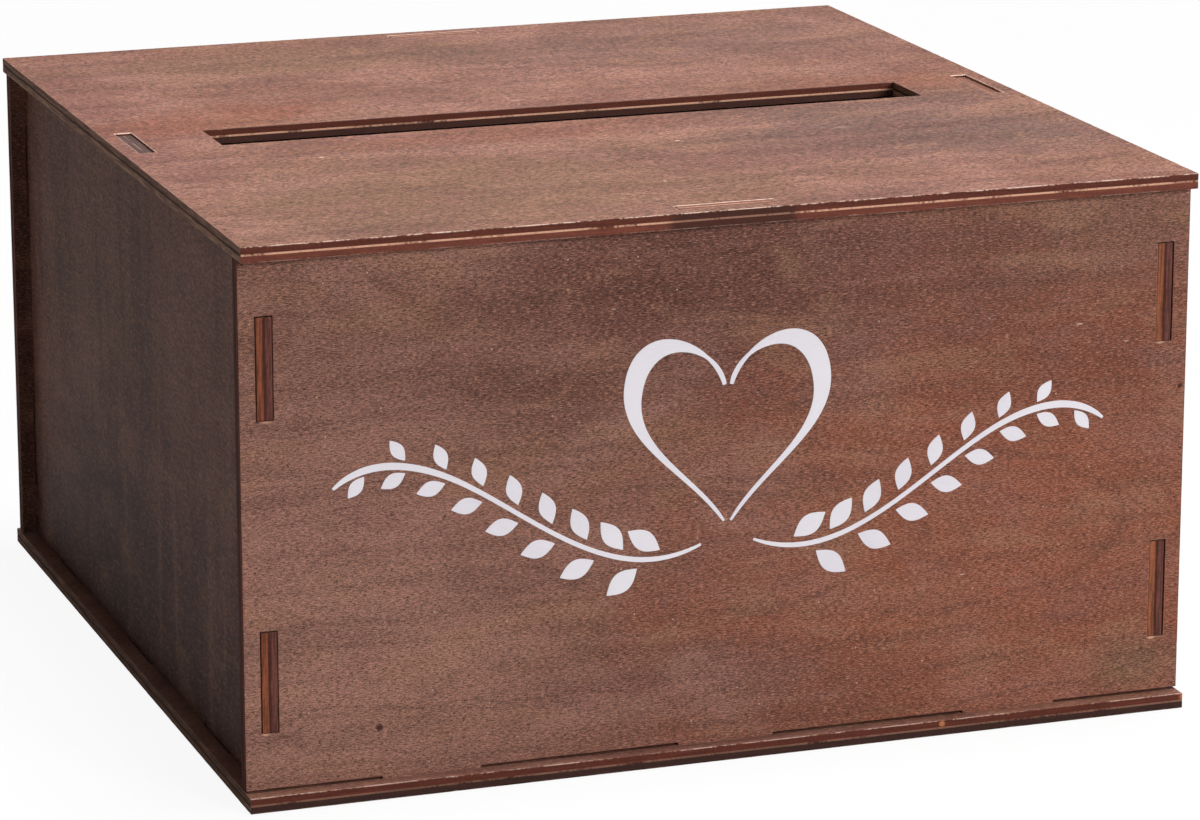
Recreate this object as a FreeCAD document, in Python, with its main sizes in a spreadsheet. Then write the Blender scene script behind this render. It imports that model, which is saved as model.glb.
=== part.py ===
import FreeCAD, Part
import os
import Sketcher

# Card box of six laser-cut plywood panels, held together by tabs in slots.
# Millimetres. Origin at the centre of the base's underside, +Z up, front wall towards -Y.

doc = FreeCAD.newDocument("CardBox")

# Driving dimensions
driving = {
    "box_width": 250.0,  # lid, base, front and back walls along X
    "box_depth": 250.0,  # lid and base along Y
    "wall_height": 133.0,  # every wall from lower to upper shoulder
    "ply": 4.0,  # thickness of all six panels
    "wall_inset": 4.0,  # lid edge to the outer face of the front and back walls
    "side_inset": 4.5,  # lid edge to the outer face of the side walls
    "wall_lift": 0.6,  # shadow gap between the base and the front and back walls
    "tab_width": 25.5,  # every tab along its panel's edge
    "tab_recess": 0.2,  # side wall tab ends behind the front wall's face
    "edge_tab_distance": 27.2,  # front wall's shoulder to the middle of a side wall tab
    "base_tab_distance": 47.5,  # base edge to the middle of an outer base tab
    "snug_gap": 0.1,  # tab to slot, on the side where the panel bears
    "loose_gap": 0.3,  # tab to slot, on the other side
    "tab_end_gap": 0.25,  # tab to slot at each end, in lid and base
    "card_slot_length": 196.0,  # along X
    "card_slot_width": 20.0,  # along Y
}
sizes = doc.addObject("Spreadsheet::Sheet", "Sizes")
for row, (alias, value) in enumerate(driving.items(), 1):
    sizes.set(f"A{row}", alias)
    sizes.set(f"B{row}", str(value))
    sizes.setAlias(f"B{row}", alias)
doc.recompute()

# Places that several panels share, from the middle of the box
half_width = "Sizes.box_width / 2"
half_depth = "Sizes.box_depth / 2"
half_height = "Sizes.wall_height / 2"
half_tab = "Sizes.tab_width / 2"
wall_face = f"({half_depth} - Sizes.wall_inset)"
side_face = f"({half_width} - Sizes.side_inset)"
wall_shoulder = "(Sizes.ply + Sizes.wall_lift)"
lid_underside = f"({wall_shoulder} + Sizes.wall_height)"
edge_tab_place = f"({half_height} - Sizes.edge_tab_distance)"
base_tab_x = f"({half_width} - Sizes.base_tab_distance)"
base_tab_y = f"({half_depth} - Sizes.base_tab_distance)"
sides = (-1, 1)
thirds = (-1, 0, 1)


def new_panel(label, x="0", y="0", z="0"):
    """An empty body whose origin is the middle of the panel."""
    body = doc.addObject("PartDesign::Body", label)
    body.Label = label
    for axis, place in (("x", x), ("y", y), ("z", z)):
        body.setExpression(f"Placement.Base.{axis}", place)
    return body


def new_sketch(body, plane, name):
    """A sketch on one of the body's own origin planes."""
    sketch = body.newObject("Sketcher::SketchObject", f"{body.Label}_{name}")
    support = next(f for f in body.Origin.OriginFeatures if f.Role == plane)
    sketch.AttachmentSupport = [(support, "")]
    sketch.MapMode = "FlatFace"
    return sketch


def rectangle(sketch, left, right, bottom, top):
    """A rectangle whose four edges are each bound to an expression."""
    x0, x1, y0, y1 = (sizes.evalExpression(edge) for edge in (left, right, bottom, top))
    corners = [FreeCAD.Vector(x, y, 0) for x, y in ((x0, y0), (x1, y0), (x1, y1), (x0, y1))]
    first = sketch.GeometryCount
    for i in range(4):
        sketch.addGeometry(Part.LineSegment(corners[i], corners[(i + 1) % 4]))
    for i in range(4):
        sketch.addConstraint(Sketcher.Constraint("Coincident", first + i, 2, first + (i + 1) % 4, 1))
        sketch.addConstraint(Sketcher.Constraint("Vertical" if i % 2 else "Horizontal", first + i))
    edges = (
        ("left", "DistanceX", 0, x0, left),
        ("right", "DistanceX", 2, x1, right),
        ("bottom", "DistanceY", 0, y0, bottom),
        ("top", "DistanceY", 2, y1, top),
    )
    for edge, kind, line, value, place in edges:
        index = sketch.addConstraint(Sketcher.Constraint(kind, -1, 1, first + line, 1, value))
        sketch.renameConstraint(index, f"{edge}{first}")
        sketch.setExpression(f"Constraints.{edge}{first}", place)


def span(side, inner, outer):
    """The low and high end of a stretch that lies inner to outer from the middle, on one side."""
    if side > 0:
        return inner, outer
    return f"-({outer})", f"-({inner})"


def add_ply(body, sketch, name):
    """Pad a sketch to the panel's thickness, half to each side of its plane."""
    feature = body.newObject("PartDesign::Pad", f"{body.Label}_{name}")
    feature.Profile = sketch
    feature.SideType = "Symmetric"
    feature.setExpression("Length", "Sizes.ply")
    doc.recompute()
    return feature


def cut_ply(body, sketch, name):
    """Cut a sketch through the panel, and make sure that material went."""
    before = body.Shape.Volume
    feature = body.newObject("PartDesign::Pocket", f"{body.Label}_{name}")
    feature.Profile = sketch
    feature.SideType = "Symmetric"
    feature.Type = "ThroughAll"
    doc.recompute()
    if body.Shape.Volume >= before:
        raise RuntimeError(f"{feature.Name} cut nothing")
    return feature


def tab_slots(sketch, places_x, places_y):
    """Slots in lid or base for the tabs of the front and back walls and of the side walls."""
    wall_inner = f"{wall_face} - Sizes.ply - Sizes.loose_gap"
    wall_outer = f"{wall_face} + Sizes.snug_gap"
    side_inner = f"{side_face} - Sizes.ply - Sizes.snug_gap"
    side_outer = f"{side_face} + Sizes.loose_gap"
    reach = f"({half_tab} + Sizes.tab_end_gap)"
    for side in sides:
        for place in places_x:
            rectangle(sketch, f"{place} - {reach}", f"{place} + {reach}", *span(side, wall_inner, wall_outer))
        for place in places_y:
            rectangle(sketch, *span(side, side_inner, side_outer), f"{place} - {reach}", f"{place} + {reach}")


# Base: a square panel with three slots along each edge
base = new_panel("base", z="Sizes.ply / 2")
outline = new_sketch(base, "XY_Plane", "outline")
rectangle(outline, f"-{half_width}", half_width, f"-{half_depth}", half_depth)
add_ply(base, outline, "panel")
slots = new_sketch(base, "XY_Plane", "slots")
base_places_x = [f"{third} * {base_tab_x}" for third in thirds]
base_places_y = [f"{third} * {base_tab_y}" for third in thirds]
tab_slots(slots, base_places_x, base_places_y)
cut_ply(base, slots, "slot_cut")

# Lid: the same panel with one slot at the middle of each edge, and the card slot
lid = new_panel("lid", z=f"{lid_underside} + Sizes.ply / 2")
outline = new_sketch(lid, "XY_Plane", "outline")
rectangle(outline, f"-{half_width}", half_width, f"-{half_depth}", half_depth)
add_ply(lid, outline, "panel")
slots = new_sketch(lid, "XY_Plane", "slots")
tab_slots(slots, ["0"], ["0"])
cut_ply(lid, slots, "slot_cut")
card_slot = new_sketch(lid, "XY_Plane", "card_slot")
card_reach_x = "Sizes.card_slot_length / 2"
card_reach_y = "Sizes.card_slot_width / 2"
rectangle(card_slot, f"-{card_reach_x}", card_reach_x, f"-{card_reach_y}", card_reach_y)
cut_ply(lid, card_slot, "card_slot_cut")

# Front and back walls: as wide as the lid, standing on three tabs that reach through the base
# to the table, with one tab up into the lid and two slots near each end for the side walls
for side, label in zip(sides, ("front_wall", "back_wall")):
    wall = new_panel(label, y=f"{side} * ({wall_face} - Sizes.ply / 2)", z=f"{wall_shoulder} + {half_height}")
    outline = new_sketch(wall, "XZ_Plane", "outline")
    rectangle(outline, f"-{half_width}", half_width, f"-{half_height}", half_height)
    add_ply(wall, outline, "panel")
    tabs = new_sketch(wall, "XZ_Plane", "tabs")
    rectangle(tabs, f"-{half_tab}", half_tab, half_height, f"{half_height} + Sizes.ply")
    for place in base_places_x:
        foot = f"-{half_height} - {wall_shoulder}"
        rectangle(tabs, f"{place} - {half_tab}", f"{place} + {half_tab}", foot, f"-{half_height}")
    add_ply(wall, tabs, "tab_pad")
    slots = new_sketch(wall, "XZ_Plane", "slots")
    slot_inner = f"{side_face} - Sizes.ply - Sizes.snug_gap"
    slot_outer = f"{side_face} + Sizes.loose_gap"
    for end in sides:
        slot_low = f"{end} * {edge_tab_place} - {half_tab} - Sizes.snug_gap"
        slot_high = f"{end} * {edge_tab_place} + {half_tab} + Sizes.loose_gap"
        for hand in sides:
            rectangle(slots, *span(hand, slot_inner, slot_outer), slot_low, slot_high)
    cut_ply(wall, slots, "slot_cut")

# Side walls: they stand on the base between the front and back walls, with two tabs through
# each of those, one tab up into the lid and three down into the base
for side, label in zip(sides, ("left_wall", "right_wall")):
    wall = new_panel(label, x=f"{side} * ({side_face} - Sizes.ply / 2)", z=f"Sizes.ply + {half_height}")
    shoulder = f"({wall_face} - Sizes.ply)"
    outline = new_sketch(wall, "YZ_Plane", "outline")
    rectangle(outline, f"-{shoulder}", shoulder, f"-{half_height}", half_height)
    add_ply(wall, outline, "panel")
    tabs = new_sketch(wall, "YZ_Plane", "tabs")
    rectangle(tabs, f"-{half_tab}", half_tab, half_height, f"{half_height} + Sizes.ply")
    for place in base_places_y:
        foot = f"-{half_height} - Sizes.ply"
        rectangle(tabs, f"{place} - {half_tab}", f"{place} + {half_tab}", foot, f"-{half_height}")
    tab_tip = f"{wall_face} - Sizes.tab_recess"
    for end in sides:
        middle = f"{end} * {edge_tab_place} + Sizes.wall_lift"
        for hand in sides:
            rectangle(tabs, *span(hand, shoulder, tab_tip), f"{middle} - {half_tab}", f"{middle} + {half_tab}")
    add_ply(wall, tabs, "tab_pad")

# Every feature sound and every panel one valid solid, then one file for each panel
doc.recompute()
for item in doc.Objects:
    if {"Invalid", "Error"} & set(item.State):
        raise RuntimeError(f"{item.Name} failed: {item.State}")
panels = [item for item in doc.Objects if item.TypeId == "PartDesign::Body"]
for panel in panels:
    if panel.Shape.isNull() or not panel.Shape.isValid() or len(panel.Shape.Solids) != 1:
        raise RuntimeError(f"{panel.Label} is not one sound solid")
os.makedirs("parts", exist_ok=True)
for panel in panels:
    panel.Shape.exportStep(os.path.join("parts", f"{panel.Label}.step"))
    box = panel.Shape.BoundBox
    print(f"{panel.Label}: {box.XLength:.1f} x {box.YLength:.1f} x {box.ZLength:.1f} mm,"
          f" z {box.ZMin:.1f} to {box.ZMax:.1f}, {panel.Shape.Volume / 1000:.1f} cm3")
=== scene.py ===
import math
import random

import bmesh
import bpy
from mathutils import Matrix, Vector, noise
from mathutils.geometry import interpolate_bezier, tessellate_polygon
from mathutils.kdtree import KDTree


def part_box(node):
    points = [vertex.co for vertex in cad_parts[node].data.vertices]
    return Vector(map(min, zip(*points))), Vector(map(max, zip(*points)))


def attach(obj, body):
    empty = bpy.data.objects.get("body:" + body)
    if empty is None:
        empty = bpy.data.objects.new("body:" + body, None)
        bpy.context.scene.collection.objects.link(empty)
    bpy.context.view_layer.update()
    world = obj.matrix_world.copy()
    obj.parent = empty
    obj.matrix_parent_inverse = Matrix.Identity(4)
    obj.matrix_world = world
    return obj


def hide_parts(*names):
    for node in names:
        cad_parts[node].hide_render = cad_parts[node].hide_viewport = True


# Flat-pack card box: six panels of dark stained plywood held by tabs in slots, white film on the front.
# Dictionaries are in millimetres and degrees, meshes in metres.

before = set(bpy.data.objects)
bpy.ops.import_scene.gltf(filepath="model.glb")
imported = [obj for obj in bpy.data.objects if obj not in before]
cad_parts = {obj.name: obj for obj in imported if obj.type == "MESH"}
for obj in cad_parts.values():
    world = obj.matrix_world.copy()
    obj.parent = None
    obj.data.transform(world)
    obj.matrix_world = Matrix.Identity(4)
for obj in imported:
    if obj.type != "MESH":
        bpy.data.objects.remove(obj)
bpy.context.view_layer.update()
mm = 0.001
print("frame:", ", ".join(sorted(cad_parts)))


# Camera

viewPoint = {
    "place": (-431.1, -1249.3, 411.4),
    "heading": 19.41,  # to the right of +Y
    "tilt": -14.91,
    "lens": 151.5,
    "sensor": 36.0,
    "nearest": 50.0,
}


def addCamera(view):
    data = bpy.data.cameras.new("camera")
    data.lens = view["lens"]
    data.sensor_width = view["sensor"]
    data.clip_start = view["nearest"] * mm
    obj = bpy.data.objects.new("camera", data)
    obj.location = Vector(view["place"]) * mm
    obj.rotation_euler = (math.radians(90 + view["tilt"]), 0, math.radians(-view["heading"]))
    bpy.context.scene.collection.objects.link(obj)
    bpy.context.scene.camera = obj


addCamera(viewPoint)
bpy.context.scene.view_settings.view_transform = "Standard"
print("camera set")


# Node maths: a wrapped socket, so that node trees read as expressions

class Shade:
    def __init__(self, tree, socket=None):
        self.tree = tree
        self.socket = socket

    def node(self, kind, settings=None, sockets=None, out=0):
        made = self.tree.nodes.new(kind)
        for name, value in (settings or {}).items():
            setattr(made, name, value)
        for key, value in (sockets or {}).items():
            if isinstance(value, Shade):
                self.tree.links.new(value.socket, made.inputs[key])
            else:
                made.inputs[key].default_value = value
        return Shade(self.tree, made.outputs[out] if made.outputs else None)

    def out(self, name):
        return Shade(self.tree, self.socket.node.outputs[name])

    def math(self, operation, *values):
        return self.node("ShaderNodeMath", {"operation": operation}, dict(enumerate(values)))

    def vector(self, x=0.0, y=0.0, z=0.0):
        return self.node("ShaderNodeCombineXYZ", None, {0: x, 1: y, 2: z})

    def vectorMath(self, operation, *values, out=0):
        return self.node("ShaderNodeVectorMath", {"operation": operation}, dict(enumerate(values)), out)

    def __add__(self, other):
        return self.math("ADD", self, other)

    def __radd__(self, other):
        return self.math("ADD", other, self)

    def __sub__(self, other):
        return self.math("SUBTRACT", self, other)

    def __rsub__(self, other):
        return self.math("SUBTRACT", other, self)

    def __mul__(self, other):
        return self.math("MULTIPLY", self, other)

    def __rmul__(self, other):
        return self.math("MULTIPLY", other, self)

    def __abs__(self):
        return self.math("ABSOLUTE", self)


def rgb(red, green, blue):
    # screen colour 0 to 255, as a linear colour
    def linear(value):
        share = value / 255
        return share / 12.92 if share <= 0.04045 else ((share + 0.055) / 1.055) ** 2.4
    return (linear(red), linear(green), linear(blue), 1.0)


def blendColor(amount, first, second):
    return amount.node("ShaderNodeMix", {"data_type": "RGBA"}, {0: amount, 6: first, 7: second}, 2)


def scaleColor(amount, color):
    return amount.node("ShaderNodeMix", {"data_type": "RGBA", "blend_type": "MULTIPLY"},
                       {0: 1.0, 6: color, 7: amount}, 2)


def ramp(value, start, end):
    # 0 up to start, 1 from end on, smooth between; it falls where end is the smaller
    return value.node("ShaderNodeMapRange", {"interpolation_type": "SMOOTHSTEP"},
                      {0: value, 1: start, 2: end, 3: 0.0, 4: 1.0})


def stretched(vector, size, detail=1.0, distortion=0.0):
    # noise whose spots have this size along the vector's three axes
    scaled = vector.vectorMath("DIVIDE", vector, size)
    return scaled.node("ShaderNodeTexNoise", None, {
        "Vector": scaled, "Scale": 1.0, "Detail": detail, "Roughness": 0.55, "Distortion": distortion})


def objectMm(shade):
    # object coordinates in millimetres
    place = shade.node("ShaderNodeTexCoord", out="Object")
    return shade.node("ShaderNodeVectorMath", {"operation": "SCALE"}, {0: place, "Scale": 1 / mm})


def newMaterial(name):
    material = bpy.data.materials.new(name)
    material.use_nodes = True
    material.node_tree.nodes.clear()
    return material, Shade(material.node_tree)


def finishMaterial(shader):
    shader.node("ShaderNodeOutputMaterial", None, {"Surface": shader})


# Stage: white sweep, softboxes overhead, low in front on the right and far behind, dim sky

stage = {
    "floorSize": 8000.0,
    "floorDrop": 0.2,
    "floorSeen": (0.9, 0.9, 0.9, 1.0),
    "floorBounce": (0.3, 0.3, 0.3, 1.0),  # what it throws back on the box
    "white": (1.0, 1.0, 1.0, 1.0),
    "whiteShare": 0.92,  # how much of the floor's white is its own, beside the box
    "whiteBeyond": (600.0, 1600.0),  # from the box, where the floor fades to pure white
    "glossShare": 0.12,  # how much of that white the satin wood reflects
    "skyLevel": 0.06,
    "lamps": {
        "overheadLamp": {"place": (240, -60, 1900), "aim": (0, 0, 100), "size": 900, "watts": 38},
        "frontLamp": {"place": (900, -1900, 760), "aim": (0, -100, 60), "size": 700, "watts": 28},
        "backLamp": {"place": (900, 2600, 900), "aim": (0, 0, 140), "size": 1400, "watts": 3},
    },
}


def seenWhite(shade):
    # 1 where the camera sees the stage straight on or through glass, less in a satin reflection
    path = shade.node("ShaderNodeLightPath", out="Is Camera Ray")
    mirrored = path.math("MAXIMUM", path.out("Is Glossy Ray") * stage["glossShare"],
                         path.out("Is Transmission Ray"))
    return path.math("MAXIMUM", path, mirrored)


def addFloor():
    material, shade = newMaterial("paleFloor")
    seen = seenWhite(shade)
    color = blendColor(seen, stage["floorBounce"], stage["floorSeen"])
    lit = shade.node("ShaderNodeBsdfDiffuse", None, {"Color": color})
    glow = shade.node("ShaderNodeEmission", None, {"Color": stage["white"], "Strength": 1.0})
    place = shade.node("ShaderNodeTexCoord", out="Object")
    away = shade.vectorMath("LENGTH", place, out="Value")
    share = stage["whiteShare"]
    near, far = stage["whiteBeyond"]
    white = share + (1 - share) * ramp(away, near * mm, far * mm)
    finishMaterial(shade.node("ShaderNodeMixShader", None, {0: seen * white, 1: lit, 2: glow}))
    half = stage["floorSize"] * mm / 2
    drop = -stage["floorDrop"] * mm
    mesh = bpy.data.meshes.new("floor")
    mesh.from_pydata([(-half, -half, drop), (half, -half, drop), (half, half, drop), (-half, half, drop)],
                     [], [(0, 1, 2, 3)])
    mesh.materials.append(material)
    floor = bpy.data.objects.new("floor", mesh)
    bpy.context.scene.collection.objects.link(floor)


def addSky():
    world = bpy.data.worlds.new("studio")
    world.use_nodes = True
    world.node_tree.nodes.clear()
    shade = Shade(world.node_tree)
    level = stage["skyLevel"]
    sky = shade.node("ShaderNodeBackground", None, {"Color": (level, level, level, 1), "Strength": 1.0})
    white = shade.node("ShaderNodeBackground", None, {"Color": stage["white"], "Strength": 1.0})
    mixed = shade.node("ShaderNodeMixShader", None, {0: seenWhite(shade), 1: sky, 2: white})
    mixed.node("ShaderNodeOutputWorld", None, {"Surface": mixed})
    bpy.context.scene.world = world


def addLamp(name, lamp):
    data = bpy.data.lights.new(name, "AREA")
    data.shape = "DISK"
    data.size = lamp["size"] * mm
    data.energy = lamp["watts"]
    obj = bpy.data.objects.new(name, data)
    place = Vector(lamp["place"]) * mm
    obj.location = place
    obj.rotation_euler = (Vector(lamp["aim"]) * mm - place).to_track_quat("-Z", "Y").to_euler()
    bpy.context.scene.collection.objects.link(obj)


addFloor()
addSky()
for lampName, lamp in stage["lamps"].items():
    addLamp(lampName, lamp)
print("stage lit")


# Stained plywood

tones = {
    "brown": rgb(131, 88, 73),
    "warm": rgb(150, 85, 61),
    "cool": rgb(107, 65, 54),
    "light": rgb(156, 111, 97),
    "olive": rgb(128, 93, 72),
    "umber": rgb(84, 54, 45),
    "fleck": rgb(190, 137, 114),
    "tan": rgb(158, 114, 88),
    "smoke": rgb(112, 84, 76),
    "mauve": rgb(132, 86, 76),
    "speck": rgb(226, 190, 170),
    "knot": rgb(70, 40, 30),
    "amber": rgb(200, 124, 80),
    "wornAndHighlight": rgb(244, 210, 192),
    "char": rgb(70, 36, 25),
    "burnt": rgb(98, 46, 32),
    "russet": rgb(120, 63, 48),
    "dusk": rgb(62, 36, 30),
    "soot": rgb(92, 70, 66),
    "core": rgb(232, 176, 146),
    "endCore": rgb(66, 28, 18),
    "chestnut": rgb(148, 86, 56),
    "auburn": rgb(136, 74, 48),
    "plum": rgb(108, 62, 54),
    "ash": rgb(190, 146, 122),
    "ashDark": rgb(168, 124, 104),
}

# Sizes in threes are along, across and through the grain.
plywood = {
    "seedStep": 100.0,  # through the grain, so that each panel has wood of its own
    "cloudSize": (46, 26, 26),
    "tintSize": (34, 15, 15),
    "tintStrength": 0.4,
    "mottleSize": (15, 7, 7),
    "mottleStrength": (0.25, 0.3),  # dark and light
    "brushDepth": 8,
    "patchRim": (0.2, 1.2),  # shares of a patch's size between which it fades
    "patchBreak": 1.4,
    "knotRim": (0.5, 1.5),  # shares of a knot's radius between which it fades
    "knotBreak": 1.6,
    "ringSpacing": 1.9,
    "ringFlat": 0.16,  # how much of a growth line's length counts, which makes it a long oval
    "ringStray": 26.0,
    "straySize": (60, 22, 22),
    "ringStrength": 0.45,
    "fibreLength": 2.4,  # in lengths of a fleck
    "weaveContrast": 1.8,
    "speckSpacing": 16.0,
    "speckSize": (0.006, 0.018),  # shares of the spacing, where a speck begins to fade and ends
    "speckStrength": 0.8,
    "raggedSize": (9, 9, 9),
    "fineSize": (0.9, 0.9, 0.9),
    "longStreakSize": (9, 2, 0.4),
    "endStreakSize": (2, 9, 0.5),
    "roughness": 0.58,
    "specular": 0.22,
    "relief": 0.1,
    "reliefStrength": 0.5,
}

# grain: axes along, across and through the grain; places below are along and across it
# weave: length and width of a fleck, contrast, share of pale fibres
# brush: length, width and strength of the brush marks
# heart: where the growth lines have their middle
# the two arris paints, pale wear with painted highlight and laser char with painted shade: share of the
# outline, of tab slots on the left and right, and of the card slot
# heat, coreShows: how charred a narrow bridge is, how much of the middle ply shows
# longCut, endCut: tones of the lower and upper ply, cut along and across the grain
# knots: place along, across and through, radius and tone; on the base one is a chip and one a worn corner
# with painted highlight
# nicks, patches: place, size, tone and strength, with a rim broken up by flecks or clouds; some nicks are
# painted highlights, some patches painted shade and one painted light
panels = [
    {
        "node": "base",
        "body": "box",
        "grain": (0, 1, 2),
        "seed": 11,
        "weave": (0.8, 0.4, 1.1, 0.6),
        "brush": (90, 8, 0.3),
        "heart": (60, -40),
        "rubbedAndHighlight": (0.55, 0.3, 0.3, 0),
        "singedAndShaded": (0, 0.5, 0.5, 0),
        "heat": 0.3,
        "coreShows": 0.25,
        "longCut": ("dusk", "burnt"),
        "endCut": ("ash", "ashDark"),
        "knots": [
            ((57.4, -125, 3.0), 0.75, "amber"),
            # a worn corner with painted highlight at the base's front right end, not a knot
            ((125, -124.6, 3.2), 0.9, "amber"),
        ],
        "nicksAndHighlights": [],
        "patches": [
            ((-60, -50), (90, 60), "light", 0.4),
            # painted shade: a dark band on the ledge along the foot of the front wall
            ((0, -121), (180, 3.4), "umber", 0.6),
        ],
    },
    {
        "node": "front_wall",
        "body": "box",
        "grain": (0, 2, 1),
        "seed": 23,
        "weave": (0.5, 0.24, 1.5, 0.85),
        "brush": (90, 5, 0.26),
        "heart": (-85, 52),
        # slots on the left get painted shade round them, slots on the right painted highlight
        "rubbedAndHighlight": (0.1, 0, 0.3, 0),
        "singedAndShaded": (0.5, 0.9, 0, 0),
        "heat": 0.0,
        "coreShows": 0.8,
        "longCut": ("brown", "brown"),
        "endCut": ("russet", "burnt"),
        "knots": [
            ((-91.0, 17.3, -121), 0.85, "knot"),
            ((123.4, 85.5, -121), 0.7, "knot"),
        ],
        "nicksAndHighlights": [
            ((95, 104), (1.1, 0.25), "speck", 1.0),
            ((108, 98.5), (0.7, 0.2), "speck", 0.9),
            ((64, 41), (0.8, 0.2), "speck", 0.8),
            ((-30, 118), (0.7, 0.2), "speck", 0.7),
            # painted highlights, where light catches the lower edge of each of the four slots
            ((-119.6, 18.8), (1.2, 0.5), "core", 0.9),
            ((-118.4, 97.4), (1.8, 0.5), "core", 0.6),
            ((117.4, 18.8), (1.2, 0.6), "core", 1.0),
            ((117.6, 97.4), (1.4, 0.5), "core", 0.8),
        ],
        "patches": [
            ((4, 122), (90, 40), "cool", 1.0),
            ((88, 50), (110, 95), "warm", 0.85),
            ((-108, 40), (62, 70), "light", 1.0),
            ((-105, 24), (60, 44), "ashDark", 0.25),
            ((22, 16), (34, 12), "umber", 0.25),
            ((95, 114), (48, 40), "umber", 0.35),
            ((104, 108), (34, 28), "warm", 0.3),
            ((108, 128), (24, 12), "olive", 0.4),
            ((-62, 96), (30, 16), "umber", 0.3),
            ((-96, 108), (36, 22), "umber", 0.2),
            ((-36, 92), (16, 10), "umber", 0.15),
            ((112, 12), (18, 10), "olive", 0.8),
        ],
    },
    {
        "node": "back_wall",
        "body": "box",
        "grain": (0, 2, 1),
        "seed": 37,
        "weave": (0.5, 0.24, 1.5, 0.85),
        "brush": (90, 5, 0.26),
        "heart": (40, 90),
        # slots on the left get painted shade round them, slots on the right painted highlight
        "rubbedAndHighlight": (0.1, 0, 0.3, 0),
        "singedAndShaded": (0.5, 0.9, 0, 0),
        "heat": 0.0,
        "coreShows": 0.8,
        "longCut": ("brown", "brown"),
        "endCut": ("russet", "burnt"),
        "knots": [((54, 38, 121), 0.9, "knot")],
        "nicksAndHighlights": [],
        "patches": [
            ((-70, 90), (80, 50), "warm", 0.6),
            ((60, 40), (90, 40), "cool", 0.6),
            # painted shade: the strip of back wall beside the left wall darkened
            ((-125, 70), (9, 90), "umber", 0.9),
        ],
    },
    {
        "node": "left_wall",
        "body": "box",
        "grain": (1, 2, 0),
        "seed": 41,
        "weave": (0.8, 0.6, 1.0, 0.5),
        "brush": (11, 130, 0.5),
        "heart": (-30, 60),
        "rubbedAndHighlight": (0.15, 0, 0, 0),
        "singedAndShaded": (0.3, 0, 0, 0),
        "heat": 0.0,
        "coreShows": 0.25,
        "longCut": ("soot", "soot"),
        "endCut": ("auburn", "plum"),
        "knots": [],
        "nicksAndHighlights": [],
        "patches": [
            ((-40, 40), (110, 60), "cool", 0.7),
            ((40, 100), (80, 40), "olive", 0.6),
            # painted shade: darker towards the bottom of the wall
            ((0, 4), (170, 62), "umber", 0.95),
            # painted light: lighter along the top of the wall
            ((20, 120), (120, 24), "light", 0.4),
        ],
    },
    {
        "node": "right_wall",
        "body": "box",
        "grain": (1, 2, 0),
        "seed": 53,
        "weave": (0.8, 0.6, 0.9, 0.5),
        "brush": (11, 130, 0.35),
        "heart": (20, 80),
        "rubbedAndHighlight": (0.15, 0, 0, 0),
        "singedAndShaded": (0.3, 0, 0, 0),
        "heat": 0.0,
        "coreShows": 0.25,
        "longCut": ("brown", "brown"),
        "endCut": ("chestnut", "plum"),
        "knots": [((-48, 96, 120.5), 1.0, "knot")],
        "nicksAndHighlights": [],
        "patches": [
            ((50, 45), (90, 50), "warm", 0.6),
            ((-60, 90), (70, 40), "cool", 0.6),
        ],
    },
    {
        "node": "lid",
        "body": "lid",
        "grain": (0, 1, 2),
        "seed": 67,
        "weave": (0.7, 0.5, 1.5, 0.45),
        "brush": (60, 11, 0.3),
        "heart": (-40, 60),
        "rubbedAndHighlight": (0.75, 1, 1, 0.1),
        "singedAndShaded": (0, 0, 0, 0.5),
        "heat": 1.0,
        "coreShows": 1.0,
        "longCut": ("russet", "burnt"),
        "endCut": ("ash", "ashDark"),
        "knots": [((62, 88, 141.6), 0.7, "knot")],
        "nicksAndHighlights": [
            ((-78, -33), (0.9, 0.7), "speck", 1.0),
            ((15, -44), (0.8, 0.7), "speck", 1.0),
            ((62, -42), (2.5, 0.7), "speck", 0.4),
            ((-8, 20), (2.0, 0.6), "speck", 0.5),
            ((-5, -89), (0.7, 0.6), "speck", 0.7),
        ],
        "patches": [
            ((-50, -85), (110, 60), "olive", 0.75),
            ((80, -50), (80, 50), "smoke", 0.9),
            ((-118, 10), (18, 120), "mauve", 0.8),
            ((-90, 18), (46, 24), "warm", 0.5),
            ((-50, 90), (70, 24), "olive", 0.7),
            ((90, 10), (40, 14), "warm", 0.4),
            ((30, -70), (46, 22), "mauve", 0.5),
            ((60, 85), (90, 40), "smoke", 0.45),
            ((-90, -90), (44, 40), "olive", 0.4),
            ((-20, -20), (60, 14), "warm", 0.3),
        ],
    },
]


def woodFields(shade, panel):
    # coordinates and noises that several layers of the material share
    inMm = objectMm(shade)
    axes = shade.node("ShaderNodeSeparateXYZ", None, {0: inMm})
    along, across, through = (axes.out("XYZ"[axis]) for axis in panel["grain"])
    grain = shade.vector(along, across, through + panel["seed"] * plywood["seedStep"])
    length, width = panel["weave"][:2]
    return {
        "along": along,
        "across": across,
        "inPanel": shade.vector(along, across, through),
        "grain": grain,
        "cloud": stretched(grain, plywood["cloudSize"], 3.0, 0.6),
        "fibres": stretched(grain, (plywood["fibreLength"] * length, width, width), 2.0),
        "flecks": stretched(grain, (length, width, width), 2.0),
        "ragged": stretched(inMm, plywood["raggedSize"], 3.0),
        "fine": stretched(inMm, plywood["fineSize"], 2.0),
    }


def edgeFields(shade):
    # what panelMesh writes on the mesh
    names = ("cutEdge", "plyDepth", "endGrain", "inSlot", "charred", "rubbedAndHighlight", "singedAndShaded")
    return {name: shade.node("ShaderNodeAttribute", {"attribute_name": name}, out="Fac") for name in names}


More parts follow.
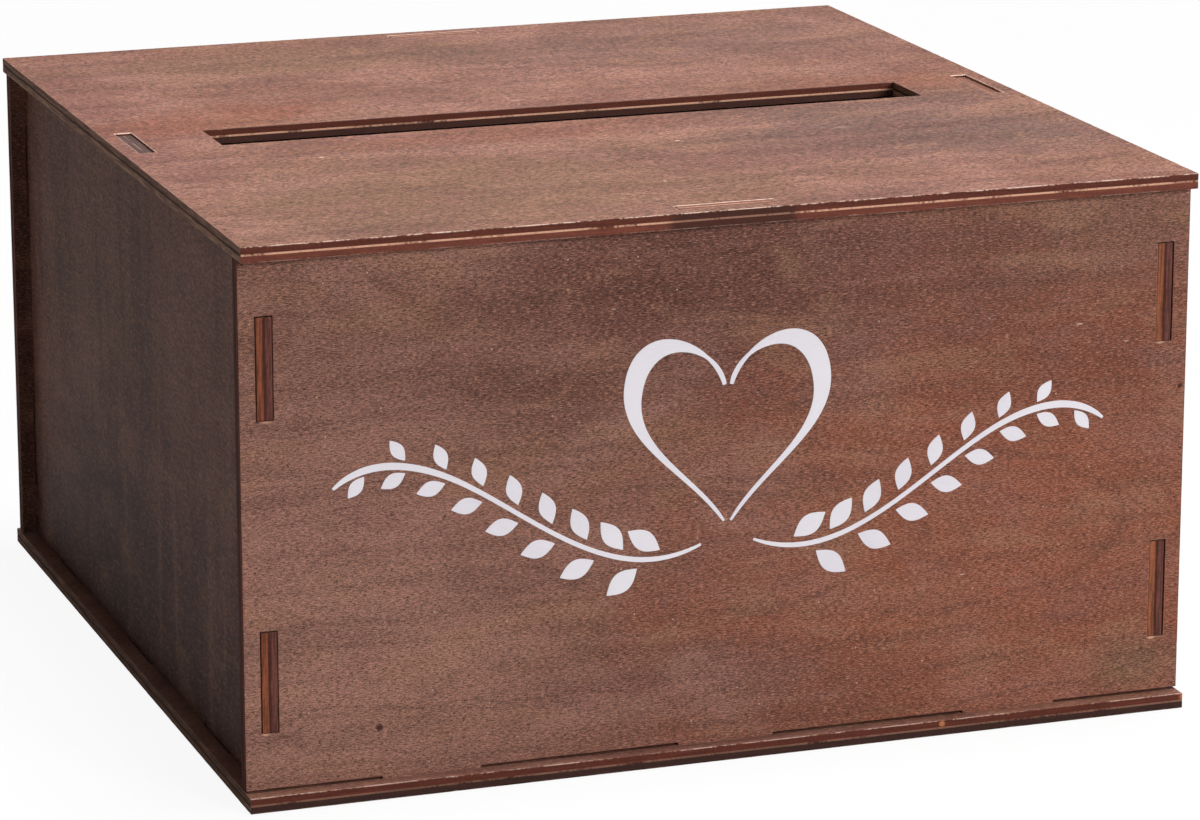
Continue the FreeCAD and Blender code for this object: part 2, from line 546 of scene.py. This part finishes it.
def paintPatch(color, grain, noisy, patch):
    # one soft patch over the colour, its rim broken up by a noise
    (along, across), (length, width), tone, strength = patch
    offset = grain.vectorMath("SUBTRACT", grain, (along, across, 0))
    scaled = grain.vectorMath("MULTIPLY", offset, (1 / length, 1 / width, 0))
    away = grain.vectorMath("LENGTH", scaled, out="Value")
    mask = (1 - ramp(away + plywood["patchBreak"] * (noisy - 0.5), *plywood["patchRim"])) * strength
    return blendColor(mask, color, tones[tone])


def stainColor(panel, wood):
    # broad clouds, the panel's own patches, among them painted shade and painted light, tints, mottling
    # and brush marks
    grain, cloud = wood["grain"], wood["cloud"]
    color = blendColor(ramp(cloud, 0.36, 0.68), tones["brown"], tones["light"])
    for patch in panel["patches"]:
        color = paintPatch(color, grain, cloud, patch)
    tint = stretched(grain, plywood["tintSize"], 3.0, 1.0)
    color = blendColor(ramp(tint, 0.5, 0.68) * plywood["tintStrength"], color, tones["tan"])
    color = blendColor(ramp(tint, 0.5, 0.32) * plywood["tintStrength"], color, tones["mauve"])
    mottle = stretched(grain, plywood["mottleSize"], 2.0, 0.4)
    dark, light = plywood["mottleStrength"]
    color = blendColor(ramp(mottle, 0.5, 0.8) * dark, color, tones["umber"])
    color = blendColor(ramp(mottle, 0.46, 0.2) * light, color, tones["light"])
    length, width, strength = panel["brush"]
    brush = stretched(grain, (length, width, plywood["brushDepth"]), 3.0, 0.2)
    color = blendColor(ramp(brush, 0.48, 0.7) * strength, color, tones["umber"])
    return blendColor(ramp(brush, 0.46, 0.28) * strength, color, tones["light"])


def paintRings(color, panel, wood):
    # growth lines round the heart of the figure
    heartAlong, heartAcross = panel["heart"]
    stray = (stretched(wood["grain"], plywood["straySize"], 2.0) - 0.5) * plywood["ringStray"]
    ringAlong = (wood["along"] - heartAlong) * plywood["ringFlat"]
    ringAcross = wood["across"] - heartAcross + stray
    square = ringAlong * ringAlong + ringAcross * ringAcross
    rings = square.vector(x=square.math("SQRT", square), z=float(panel["seed"]))
    lines = stretched(rings, (plywood["ringSpacing"], 1, 1), 3.0)
    strength = ramp(lines, 0.5, 0.7) * ramp(wood["cloud"], 0.3, 0.6) * plywood["ringStrength"]
    return blendColor(strength, color, tones["umber"])


def paintFibres(color, panel, wood):
    # fibres, flecks, pale specks, nicks and painted highlights
    contrast, pale = panel["weave"][2:]
    fibres, flecks = wood["fibres"], wood["flecks"]
    color = scaleColor(1 + contrast * plywood["weaveContrast"] * (fibres + flecks - 1), color)
    color = blendColor(ramp(fibres, 0.54, 0.74) * pale, color, tones["fleck"])
    cells = color.node("ShaderNodeTexVoronoi", {"voronoi_dimensions": "2D"}, {
        "Vector": color.vector(wood["along"] + panel["seed"], wood["across"]),
        "Scale": 1 / plywood["speckSpacing"]})
    chosen = ramp(cells.node("ShaderNodeSeparateColor", None, {0: cells.out("Color")}), 0.5, 0.55)
    specks = chosen * (1 - ramp(cells, *plywood["speckSize"])) * plywood["speckStrength"]
    color = blendColor(specks, color, tones["speck"])
    for smallMark in panel["nicksAndHighlights"]:
        color = paintPatch(color, wood["grain"], flecks, smallMark)
    return color


def longCutColor(panel, wood, edge):
    # cut along the grain: burnt outer plies round a paler core that shows in stretches
    fine, ragged, depth = wood["fine"], wood["ragged"], edge["plyDepth"]
    lower, upper = (tones[tone] for tone in panel["longCut"])
    lower = blendColor(edge["inSlot"] * 0.85, lower, tones["dusk"])
    streaks = stretched(wood["grain"], plywood["longStreakSize"], 2.0)
    color = scaleColor(0.5 + streaks, blendColor(ramp(depth, -0.05, 0.05), lower, upper))
    inCore = 1 - ramp(abs(depth) + (fine - 0.5) * 0.08, 0.1, 0.16)
    coreSeen = inCore * ramp(0.7 * ragged + 0.3 * fine, 0.34, 0.52) * panel["coreShows"]
    return blendColor(coreSeen * (1 - 0.5 * edge["charred"]), color, tones["core"]), coreSeen


def endCutColor(panel, wood, edge):
    # cut across the grain: two streaky tones round a dark core
    depth = edge["plyDepth"]
    lower, upper = (tones[tone] for tone in panel["endCut"])
    streaks = stretched(wood["grain"], plywood["endStreakSize"], 2.0)
    color = blendColor(ramp(depth + 2 * (streaks - 0.5), -0.3, 0.3), lower, upper)
    color = scaleColor(0.6 + 0.7 * ramp(streaks, 0.36, 0.64), color)
    inCore = 1 - ramp(abs(depth) + 0.3 * (streaks - 0.5), 0.08, 0.24)
    return blendColor(inCore * 0.85, color, tones["endCore"])


def paintEdges(color, panel, wood, edge):
    # cut edges, scorched where a bridge is narrow, with singed arrises that carry painted shade and worn
    # arrises that carry painted highlight
    fine, ragged = wood["fine"], wood["ragged"]
    charred, endGrain, inSlot = edge["charred"], edge["endGrain"], edge["inSlot"]
    longCut, coreSeen = longCutColor(panel, wood, edge)
    cut = blendColor(endGrain, longCut, endCutColor(panel, wood, edge))
    scorch = ramp(charred, 0.0, 0.4) * ramp(charred + 1.2 * (ragged - 0.5), 0.2, 0.9) * (1 - endGrain)
    cut = blendColor(scorch * (0.9 - 0.6 * coreSeen), cut, tones["char"])
    color = blendColor(edge["cutEdge"], color, scaleColor(0.6 + 0.8 * fine, cut))
    # singed arrises: laser char with painted shade; the worn ones below: pale wear with painted highlight
    color = blendColor(edge["singedAndShaded"] * ramp(fine + ragged, 0.7, 1.1), color, tones["char"])
    wornAndHighlight = edge["rubbedAndHighlight"] * (1 - (0.75 - 0.4 * inSlot) * endGrain)
    wornAndHighlight = wornAndHighlight * ramp(0.6 * ragged + 0.4 * fine + 0.1 * inSlot, 0.43, 0.57)
    return blendColor(wornAndHighlight, color, tones["wornAndHighlight"])


def paintKnotsAndHighlights(color, panel, wood):
    # round spots: knots, a chip and a worn corner with painted highlight
    inner, outer = plywood["knotRim"]
    for place, radius, tone in panel["knots"]:
        away = color.vectorMath("DISTANCE", wood["inPanel"], place, out="Value")
        ragged = away + plywood["knotBreak"] * (wood["fine"] - 0.5)
        color = blendColor(1 - ramp(ragged, radius * inner, radius * outer), color, tones[tone])
    return color


def plywoodMaterial(panel):
    material, shade = newMaterial("stainedPlywood." + panel["node"])
    wood = woodFields(shade, panel)
    edge = edgeFields(shade)
    color = stainColor(panel, wood)
    color = paintRings(color, panel, wood)
    color = paintFibres(color, panel, wood)
    color = paintEdges(color, panel, wood, edge)
    color = paintKnotsAndHighlights(color, panel, wood)
    rough = plywood["roughness"] + 0.24 * (wood["flecks"] - 0.5) + 0.1 * edge["cutEdge"]
    normal = shade.node("ShaderNodeBump", None, {
        "Strength": plywood["reliefStrength"], "Distance": plywood["relief"] * mm,
        "Height": 0.6 * wood["flecks"] + 0.4 * wood["fibres"]})
    finishMaterial(shade.node("ShaderNodeBsdfPrincipled", None, {
        "Base Color": color, "Roughness": rough, "Normal": normal,
        "Specular IOR Level": plywood["specular"]}))
    return material


# Panels: each is drawn again from its own CAD outline, with rounded, chipped arrises that carry wear,
# painted highlight and painted shade

panelCut = {
    "step": 1.25,  # between points along a cut edge
    "arris": 0.14,
    "arrisVaries": 0.5,  # share of the arris
    "arrisWave": 0.21,  # waves in a millimetre
    "edgeBand": 0.16,
    "bandPaint": 0.75,  # share of the wear and painted highlight where the band meets the arris
    "lowerPaint": 0.4,  # share of the upper arris's wear and painted highlight on the lower one, painted less as it lies in shade
    "rim": 1.5,
    "core": 0.3,  # half of the middle ply, as it shows at the edge
    "glueLine": 0.05,
    "coreSunk": 0.03,
    "chips": 9,  # in a metre of edge
    "chipDepth": (0.05, 0.22),
    "chipLength": (1.5, 3.5),
    "heatReach": (3.9, 7.0),  # a cut this close to another one is charred
    "longSlot": 200.0,  # round a slot that is longer than any tab's
    "sharpAngle": 40.0,
    "weld": 0.01,
}


def cutOutlines(node, axis):
    # corners of a panel's outline and of each slot, seen along the axis, material on the left;
    # outlines and their first corners are sorted by place, so that every run draws the same chips
    sheet = bmesh.new()
    sheet.from_mesh(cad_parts[node].data)
    bmesh.ops.remove_doubles(sheet, verts=sheet.verts, dist=panelCut["weld"] * mm)
    sheet.normal_update()
    face = [f for f in sheet.faces if f.normal[axis] > 0.9]

    def place(point):
        return (round(point.x, 2), round(point.y, 2))

    following = {}
    for loop in (loop for f in face for loop in f.loops):
        if sum(f in face for f in loop.edge.link_faces) == 1:
            following[loop.vert] = loop.link_loop_next.vert
    outlines = []
    while following:
        start, vert = following.popitem()
        ring = [start]
        while vert is not start:
            ring.append(vert)
            vert = following.pop(vert)
        points = [Vector((v.co[(axis + 1) % 3], v.co[(axis + 2) % 3])) / mm for v in ring]
        corners = []
        for before, point, after in zip(points[-1:] + points[:-1], points, points[1:] + points[:1]):
            if abs((point - before).normalized().cross((after - point).normalized())) > 0.01:
                corners.append(point)
        first = min(range(len(corners)), key=lambda i: place(corners[i]))
        outlines.append(corners[first:] + corners[:first])
    sheet.free()
    outlines.sort(key=lambda ring: (round(ring[0].x - max(p.x for p in ring), 2), place(ring[0])))
    return outlines


def walkOutline(corners):
    # points along an outline, each with the way into the material
    walk = []
    count = len(corners)
    for i in range(count):
        before, here, after = corners[i - 1], corners[i], corners[(i + 1) % count]
        arrive = (here - before).normalized()
        leave = (after - here).normalized()
        inArrive = Vector((-arrive.y, arrive.x))
        inLeave = Vector((-leave.y, leave.x))
        walk.append((here, (inArrive + inLeave) / (1 + inArrive.dot(inLeave))))
        pieces = max(2, round((after - here).length / panelCut["step"]))
        for k in range(1, pieces):
            walk.append((here.lerp(after, k / pieces), inLeave))
    return walk


def cutHeat(walks):
    # how hot each point of each outline got: 1 where another outline is close, 0 where it is far
    close, far = panelCut["heatReach"]
    tree = KDTree(sum(len(walk) for walk in walks))
    owner = []
    for number, walk in enumerate(walks):
        for point, inward in walk:
            tree.insert((point.x, point.y, 0), len(owner))
            owner.append(number)
    tree.balance()
    heat = []
    for number, walk in enumerate(walks):
        heat.append([])
        for point, inward in walk:
            found = tree.find_range((point.x, point.y, 0), far)
            near = [distance for place, index, distance in found if owner[index] != number]
            heat[-1].append(min(1.0, (far - min(near)) / (far - close)) if near else 0.0)
    return heat


def cutKind(number, walk, sideways):
    # outline, tab slot on the left, tab slot on the right or card slot, as rubbed and singed list them
    if number == 0:
        return 0
    if len(walk) * panelCut["step"] > panelCut["longSlot"]:
        return 3
    return 1 if walk[0][0][sideways] < 0 else 2


def drawChips(draw, count):
    # place, depth and length of the chips on an outline of so many points
    chips = []
    for _ in range(round(panelCut["chips"] * count * panelCut["step"] / 1000)):
        chips.append((draw.randrange(count), draw.uniform(*panelCut["chipDepth"]),
                      draw.uniform(*panelCut["chipLength"])))
    return chips


def arrisSize(i, point, chips, seed):
    wave = panelCut["arrisWave"]
    wobble = noise.noise(Vector((point.x * wave, point.y * wave, seed)))
    arris = panelCut["arris"] * (1 + panelCut["arrisVaries"] * wobble)
    for at, depth, length in chips:
        away = abs(i - at) * panelCut["step"]
        arris += max(0.0, depth * (1 - (2 * away / length) ** 2))
    return arris


def edgeProfile(half, arris):
    # inset, height, arris paint and cut edge from the upper face round to the lower one; the arris paint
    # is pale wear with painted highlight and laser char with painted shade
    cut = panelCut
    core, glue, sunk = cut["core"], cut["glueLine"], cut["coreSunk"]
    upper = [(cut["rim"], half, 0, 0), (arris + cut["edgeBand"], half, 0, 0),
             (arris, half, cut["bandPaint"], 0)]
    for angle in (30, 60, 90):
        turn = math.radians(angle)
        upper.append((arris * (1 - math.sin(turn)), half - arris * (1 - math.cos(turn)), 1, angle / 90))
    upper += [(0, half - arris - cut["edgeBand"], 0, 1), (0, core + glue, 0, 1), (glue, core, 0, 1),
              (sunk, core - glue, 0, 1)]
    lower = [(inset, -height, cut["lowerPaint"] * arrisPaint, edge)
             for inset, height, arrisPaint, edge in reversed(upper)]
    return upper + lower


def panelMesh(panel, axis, half, middle, walks):
    draw = random.Random(panel["seed"])
    heat = cutHeat(walks)
    uAxis, vAxis = (axis + 1) % 3, (axis + 2) % 3
    sideways = 0 if uAxis == 0 else 1  # which of the two runs from left to right
    lengthwise, crosswise = panel["grain"][:2]
    bm = bmesh.new()
    layers = {name: bm.verts.layers.float.new(name)
              for name in ("rubbedAndHighlight", "singedAndShaded", "cutEdge", "plyDepth", "inSlot", "charred")}
    endLayer = bm.faces.layers.float.new("endGrain")
    upperRims = []
    lowerRims = []
    for number, walk in enumerate(walks):
        count = len(walk)
        chips = drawChips(draw, count)
        kind = cutKind(number, walk, sideways)
        rows = []
        for i, (point, inward) in enumerate(walk):
            row = []
            for inset, height, arrisPaint, edge in edgeProfile(half, arrisSize(i, point, chips, panel["seed"])):
                flat = point + inward * inset
                co = Vector()
                co[uAxis] = flat.x * mm
                co[vAxis] = flat.y * mm
                co[axis] = middle + height * mm
                vert = bm.verts.new(co)
                # arris paint: pale wear with painted highlight, and laser char with painted shade
                vert[layers["rubbedAndHighlight"]] = arrisPaint * panel["rubbedAndHighlight"][kind]
                vert[layers["singedAndShaded"]] = arrisPaint * panel["singedAndShaded"][kind]
                vert[layers["cutEdge"]] = edge
                vert[layers["plyDepth"]] = height / half
                vert[layers["inSlot"]] = 0.0 if number == 0 else 1.0
                vert[layers["charred"]] = heat[number][i] * panel["heat"]
                row.append(vert)
            rows.append(row)
        upperRims.append([row[0] for row in rows])
        lowerRims.append([row[-1] for row in rows])
        for i, row in enumerate(rows):
            nextRow = rows[(i + 1) % count]
            run = nextRow[0].co - row[0].co
            acrossGrain = abs(run[lengthwise]) < abs(run[crosswise])
            for k in range(len(row) - 1):
                face = bm.faces.new((row[k], row[k + 1], nextRow[k + 1], nextRow[k]))
                face[endLayer] = 1.0 if acrossGrain else 0.0
                face.smooth = 2 <= k < len(row) - 3  # all but the flat rims

    # the two flat sides
    for rims in (upperRims, lowerRims):
        verts = [vert for rim in rims for vert in rim]
        for corners in tessellate_polygon([[vert.co for vert in rim] for rim in rims]):
            bm.faces.new([verts[i] for i in corners])
    bmesh.ops.recalc_face_normals(bm, faces=bm.faces)
    mesh = bpy.data.meshes.new(panel["node"] + "_panel")
    bm.to_mesh(mesh)
    bm.free()
    mesh.set_sharp_from_angle(angle=math.radians(panelCut["sharpAngle"]))
    return mesh


def makePanel(panel):
    node = panel["node"]
    low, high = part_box(node)
    axis = panel["grain"][2]
    half = (high[axis] - low[axis]) / mm / 2
    middle = (high[axis] + low[axis]) / 2
    walks = [walkOutline(corners) for corners in cutOutlines(node, axis)]
    mesh = panelMesh(panel, axis, half, middle, walks)
    mesh.materials.append(plywoodMaterial(panel))
    obj = bpy.data.objects.new(node + "_panel", mesh)
    bpy.context.scene.collection.objects.link(obj)
    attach(obj, panel["body"])
    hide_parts(node)
    print(f"{obj.name}: {len(walks)} outlines, {len(mesh.polygons)} faces")


for panel in panels:
    makePanel(panel)


# Ornament: a heart between two leafy stems, cut from white film and stuck on the front wall.
# Strokes are for the right half, and are mirrored for the left half.

ornament = {
    "height": 87.0,  # of the strokes' origin above the table
    "heart": [(0.9, 9.5), (3.5, 21), (23.5, 27), (25, 9), (26, -5), (9, -13), (0.9, -25.5)],
    "heartNib": (1.4, 5.6),
    "stem": [(7, -31), (30, -41), (50, -20), (70, -9), (84, -1.5), (95, -2), (102, -8)],
    "stemNib": (1.0, 2.8),
    "nibAngle": 40.0,
    "strokeSteps": 40,
    "strokeTip": 0.02,  # share of the taper that a stroke starts with
    "leafCount": 8,
    "leafLength": 13.5,
    "leafWidth": 0.38,  # share of the length
    "leafStart": 0.26,  # share of the length left bare beside the stem
    "leafShrink": 0.4,  # share of the length that the last leaves lack
    "leafAngle": 42.0,
    "leafReach": ((0.08, 0.8), (0.14, 0.9)),  # shares of the stem, upper and lower leaves
    "leafPoints": 17,
    "leafTip": 0.01,  # share of the swell that a leaf starts with
    "thickness": 0.12,
    "weld": 0.002,
    "white": rgb(254, 249, 255),
    "shaded": rgb(246, 239, 248),
    "cloudSize": (22, 22, 22),
    "grainSize": (2.4, 1, 0.5),
    "roughness": 0.42,
    "relief": 0.06,
    "reliefStrength": 0.35,
}


def strokePoints(control, nib):
    # points along a chain of Bezier curves, each with half the width that a slanted nib leaves
    points = []
    for i in range(0, len(control) - 1, 3):
        knots = [Vector((x, y, 0)) for x, y in control[i:i + 4]]
        points += interpolate_bezier(*knots, ornament["strokeSteps"])[1 if points else 0:]
    last = len(points) - 1
    tip = ornament["strokeTip"]
    stroke = []
    for i, point in enumerate(points):
        run = points[min(i + 1, last)] - points[max(i - 1, 0)]
        slant = abs(math.sin(math.atan2(run.y, run.x) - math.radians(ornament["nibAngle"])))
        taper = math.sin(math.pi * (tip + (1 - 2 * tip) * i / last)) ** 0.5
        stroke.append((point, taper * (nib[0] + (nib[1] - nib[0]) * slant) / 2))
    return stroke


def ribbon(curve, halfWidth):
    # flat band along a curve that lies in the XY plane
    band = curve.node("GeometryNodeCurvePrimitiveLine", None, {"Start": (-1, 0, 0), "End": (1, 0, 0)})
    level = curve.node("GeometryNodeSetCurveNormal", {"mode": "Z_UP"}, {"Curve": curve})
    return curve.node("GeometryNodeCurveToMesh", None, {
        "Curve": level, "Profile Curve": band, "Scale": halfWidth})


def joinParts(parts):
    joined = parts[0].node("GeometryNodeJoinGeometry")
    for part in parts:
        part.tree.links.new(part.socket, joined.socket.node.inputs[0])
    return joined


def leafShape(start):
    # one leaf of length 1
    line = start.node("GeometryNodeCurvePrimitiveLine", None, {
        "Start": start.vector(x=start.out("Leaf Start")), "End": (1, 0, 0)})
    line = start.node("GeometryNodeResampleCurve", None, {"Curve": line, "Count": ornament["leafPoints"]})
    tip = ornament["leafTip"]
    swell = (start.node("GeometryNodeSplineParameter", out="Factor") * (1 - 2 * tip) + tip) * math.pi
    return ribbon(line, swell.math("SINE", swell) * start.out("Leaf Width") * 0.5)


def leavesAlong(start, stems, leaf, side, reach):
    # leaves on one side of the stems, smaller towards the tip
    count = start.out("Leaf Count")
    stretch = start.node("GeometryNodeTrimCurve", None, {0: stems, 2: reach[0], 3: reach[1]})
    points = start.node("GeometryNodeCurveToPoints", {"mode": "COUNT"}, {"Curve": stretch, "Count": count})
    tangent = start.node("ShaderNodeSeparateXYZ", None, {0: points.out("Tangent")})
    turn = tangent.math("ARCTAN2", tangent.out("Y"), tangent.out("X"))
    turn = turn + tangent.math("SIGN", tangent.out("X")) * start.out("Leaf Angle") * side
    index = start.node("GeometryNodeInputIndex")
    step = index.math("FRACT", index.math("DIVIDE", index, count))
    size = start.out("Leaf Length") * (1 - start.out("Leaf Shrink") * step)
    return start.node("GeometryNodeInstanceOnPoints", None, {
        "Points": points, "Instance": leaf,
        "Rotation": start.node("FunctionNodeEulerToRotation", None, {0: start.vector(z=turn)}),
        "Scale": start.vector(size, size, 1.0)})


def filmTree(material):
    tree = bpy.data.node_groups.new("filmOrnament", "GeometryNodeTree")
    inputs = {}
    for name, kind in (("Strokes", "Geometry"), ("Leaf Count", "Int"), ("Leaf Length", "Float"),
                       ("Leaf Width", "Float"), ("Leaf Start", "Float"), ("Leaf Shrink", "Float"),
                       ("Leaf Angle", "Float"), ("Thickness", "Float")):
        inputs[name] = tree.interface.new_socket(name, in_out="INPUT", socket_type="NodeSocket" + kind)
    tree.interface.new_socket("Film", in_out="OUTPUT", socket_type="NodeSocketGeometry")
    start = Shade(tree).node("NodeGroupInput")
    strokes = start.out("Strokes")

    # the stems are the first two strokes
    index = start.node("GeometryNodeInputIndex")
    stems = start.node("GeometryNodeSeparateGeometry", {"domain": "CURVE"}, {
        "Geometry": strokes, "Selection": index.math("LESS_THAN", index, 1.5)})
    leaf = leafShape(start)
    parts = [ribbon(strokes, start.node("GeometryNodeInputRadius"))]
    for side, reach in zip((1, -1), ornament["leafReach"]):
        parts.append(leavesAlong(start, stems, leaf, side, reach))

    # thickness, closed at the back
    flat = start.node("GeometryNodeRealizeInstances", None, {"Geometry": joinParts(parts[::-1])})
    front = start.node("GeometryNodeExtrudeMesh", {"mode": "FACES"}, {
        "Mesh": flat, "Offset Scale": start.out("Thickness"), "Individual": False})
    back = start.node("GeometryNodeFlipFaces", None, {"Mesh": flat})
    film = start.node("GeometryNodeMergeByDistance", None, {
        "Geometry": joinParts([front, back]), "Distance": ornament["weld"] * mm})
    film = start.node("GeometryNodeRealizeInstances", None, {"Geometry": film})
    film = start.node("GeometryNodeSetMaterial", None, {"Geometry": film, "Material": material})
    start.node("NodeGroupOutput", None, {"Film": film})
    return tree, inputs


def filmMaterial():
    material, shade = newMaterial("whiteFilm")
    inMm = objectMm(shade)
    clouds = stretched(inMm, ornament["cloudSize"], 2.0)
    grain = stretched(inMm, ornament["grainSize"], 2.0)
    color = blendColor(ramp(0.7 * clouds + 0.3 * grain, 0.35, 0.7), ornament["white"], ornament["shaded"])
    normal = shade.node("ShaderNodeBump", None, {
        "Strength": ornament["reliefStrength"], "Distance": ornament["relief"] * mm, "Height": grain})
    finishMaterial(shade.node("ShaderNodeBsdfPrincipled", None, {
        "Base Color": color, "Roughness": ornament["roughness"] + 0.3 * (grain - 0.5), "Normal": normal}))
    return material


def drawStrokes():
    drawn = bpy.data.curves.new("filmStrokes", "CURVE")
    drawn.dimensions = "3D"
    for control, nib in (("stem", "stemNib"), ("heart", "heartNib")):
        stroke = strokePoints(ornament[control], ornament[nib])
        for side in (1, -1):
            spline = drawn.splines.new("POLY")
            spline.points.add(len(stroke) - 1)
            for knot, (point, halfWidth) in zip(spline.points, stroke):
                knot.co = (side * point.x * mm, point.y * mm, 0, 1)
                knot.radius = halfWidth * mm
    source = bpy.data.objects.new("filmStrokes", drawn)
    bpy.context.scene.collection.objects.link(source)
    return source


def makeOrnament():
    source = drawStrokes()
    tree, inputs = filmTree(filmMaterial())
    modifier = source.modifiers.new("film", "NODES")
    modifier.node_group = tree
    values = {
        "Leaf Count": ornament["leafCount"],
        "Leaf Length": ornament["leafLength"] * mm,
        "Leaf Width": ornament["leafWidth"],
        "Leaf Start": ornament["leafStart"],
        "Leaf Shrink": ornament["leafShrink"],
        "Leaf Angle": math.radians(ornament["leafAngle"]),
        "Thickness": ornament["thickness"] * mm,
    }
    for name, value in values.items():
        modifier[inputs[name].identifier] = value
    evaluated = source.evaluated_get(bpy.context.evaluated_depsgraph_get())
    mesh = bpy.data.meshes.new_from_object(evaluated)
    bpy.data.objects.remove(source)
    mesh.shade_flat()

    # stand the flat film up against the front wall
    mesh.transform(Matrix.Rotation(math.radians(90), 4, "X"))
    mesh.transform(Matrix.Translation((0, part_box("front_wall")[0][1], ornament["height"] * mm)))
    obj = bpy.data.objects.new("front_ornament", mesh)
    bpy.context.scene.collection.objects.link(obj)
    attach(obj, "box")
    print(f"{obj.name}: {len(mesh.polygons)} faces")


makeOrnament()
